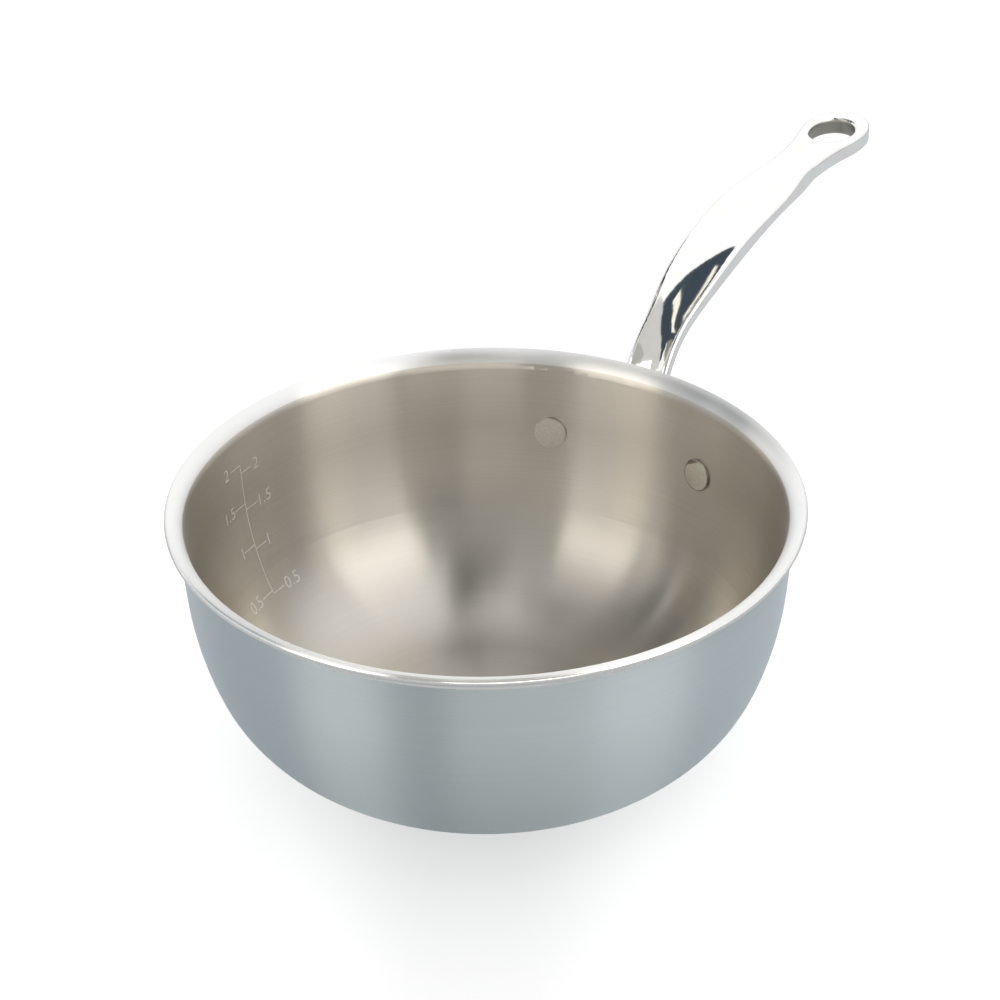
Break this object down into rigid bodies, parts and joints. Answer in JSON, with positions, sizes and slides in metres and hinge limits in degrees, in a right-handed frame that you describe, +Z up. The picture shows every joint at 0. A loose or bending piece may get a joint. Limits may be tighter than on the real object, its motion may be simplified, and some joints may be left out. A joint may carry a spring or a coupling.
{
  "type": "saucier pan",
  "caption": "Round-bottomed saucier pan of clad steel sheet with a flared pouring lip and a long riveted handle ending in a hanging hole.",
  "frame": {"origin": "centre of the flat base, where the pan's axis meets the surface it stands on", "axes": "+Z up along the pan's axis, +Y out along the handle, +X to the right of the handle seen from the pan's open top with the handle pointing away"},
  "size_m": [0.2188, 0.3899, 0.126],
  "materials": {
    "cooking_surface": "brushed around the axis",
    "core_metal": "sealed between the skins, bare only at the lip's cut edge",
    "outer_surface": "fine satin with a polished lip",
    "cast_steel": "polished",
    "rivet_steel": "satin"
  },
  "bodies": {
    "root": {"outer_skin": "outer_surface", "aluminium_core": "core_metal", "cooking_skin": "cooking_surface", "handle": "cast_steel", "rivet_left": "rivet_steel", "rivet_right": "rivet_steel"}
  },
  "joints": []
}
